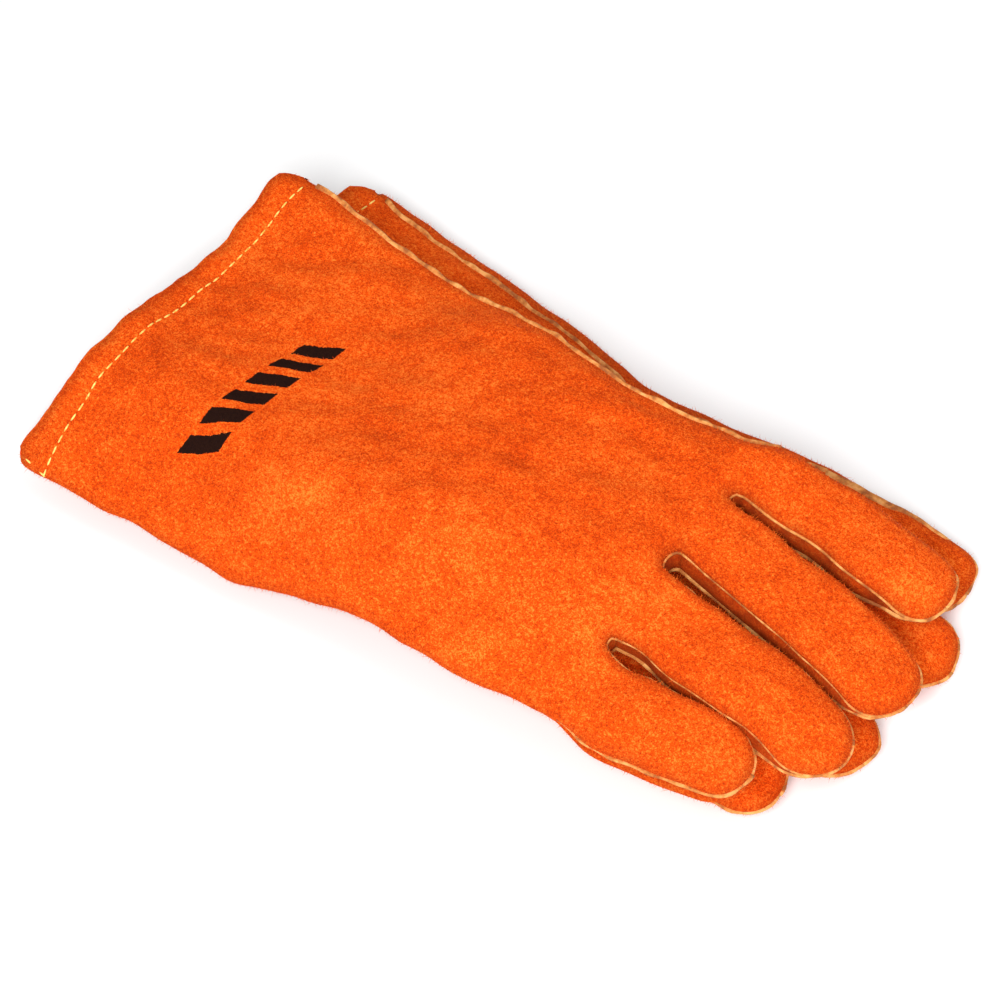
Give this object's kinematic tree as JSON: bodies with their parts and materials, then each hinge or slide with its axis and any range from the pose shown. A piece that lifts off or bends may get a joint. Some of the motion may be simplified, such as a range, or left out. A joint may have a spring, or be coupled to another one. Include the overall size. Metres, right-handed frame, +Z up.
{
  "type": "pair of welding gloves",
  "caption": "Pair of split-leather gauntlet welding gloves, right and left, lying palm to palm, with separate panels, fingers, thumbs, welts and linings.",
  "frame": {"origin": "middle of the pair's base, on the surface that it lies on", "axes": "+X towards the fingertips, +Y towards the index fingers' side, +Z up, out of the back of the right glove"},
  "size_m": [0.3584, 0.2068, 0.0642],
  "materials": {
    "split_leather": "orange suede, split cowhide, napped",
    "welt_leather": "tan split-leather welt, cut edge",
    "cotton_fleece": "natural brushed cotton fleece",
    "cotton_duck": "natural cotton duck, plain weave",
    "aramid_thread": "yellow aramid sewing thread"
  },
  "bodies": {
    "left_glove": {"left_back": "split_leather", "left_gauntlet_lining": "cotton_duck", "left_hand_liner": "cotton_fleece", "left_hem_stitching": "aramid_thread", "left_index_back": "split_leather", "left_index_front": "split_leather", "left_index_liner": "cotton_fleece", "left_index_sides": "split_leather", "left_index_welts": "welt_leather", "left_little_back": "split_leather", "left_little_front": "split_leather", "left_little_liner": "cotton_fleece", "left_little_sides": "split_leather", "left_little_welts": "welt_leather", "left_middle_back": "split_leather", "left_middle_front": "split_leather", "left_middle_liner": "cotton_fleece", "left_middle_sides": "split_leather", "left_middle_welts": "welt_leather", "left_palm": "split_leather", "left_ring_back": "split_leather", "left_ring_front": "split_leather", "left_ring_liner": "cotton_fleece", "left_ring_sides": "split_leather", "left_ring_welts": "welt_leather", "left_side_welt": "welt_leather", "left_thumb_back": "split_leather", "left_thumb_front": "split_leather", "left_thumb_welt": "welt_leather"},
    "right_hand": {"right_back": "split_leather", "right_gauntlet_lining": "cotton_duck", "right_hand_liner": "cotton_fleece", "right_hem_stitching": "aramid_thread", "right_palm": "split_leather", "right_side_welt": "welt_leather", "right_thumb_back": "split_leather", "right_thumb_front": "split_leather", "right_thumb_welt": "welt_leather"},
    "right_index": {"right_index_back": "split_leather", "right_index_front": "split_leather", "right_index_liner": "cotton_fleece", "right_index_sides": "split_leather", "right_index_welts": "welt_leather"},
    "right_middle": {"right_middle_back": "split_leather", "right_middle_front": "split_leather", "right_middle_liner": "cotton_fleece", "right_middle_sides": "split_leather", "right_middle_welts": "welt_leather"},
    "right_ring": {"right_ring_back": "split_leather", "right_ring_front": "split_leather", "right_ring_liner": "cotton_fleece", "right_ring_sides": "split_leather", "right_ring_welts": "welt_leather"},
    "right_little": {"right_little_back": "split_leather", "right_little_front": "split_leather", "right_little_liner": "cotton_fleece", "right_little_sides": "split_leather", "right_little_welts": "welt_leather"}
  },
  "joints": [
    {"name": "right_glove_lift", "type": "slide", "parent": "left_glove", "child": "right_hand", "axis": [0, 0, 1], "range_m": [0, 0.25]},
    {"name": "right_index_bend", "type": "hinge", "parent": "right_hand", "child": "right_index", "pos_m": [0.07603, 0.04055, 0.0583], "axis": [-0.0087, -1, 0], "range_deg": [0, 50]},
    {"name": "right_middle_bend", "type": "hinge", "parent": "right_hand", "child": "right_middle", "pos_m": [0.07603, 0.00255, 0.0583], "axis": [-0.0785, -0.9969, 0], "range_deg": [0, 50]},
    {"name": "right_ring_bend", "type": "hinge", "parent": "right_hand", "child": "right_ring", "pos_m": [0.07603, -0.03695, 0.05626], "axis": [-0.0958, -0.9954, 0], "range_deg": [0, 50]},
    {"name": "right_little_bend", "type": "hinge", "parent": "right_hand", "child": "right_little", "pos_m": [0.07603, -0.07495, 0.04679], "axis": [-0.0872, -0.9962, 0], "range_deg": [0, 50]}
  ]
}
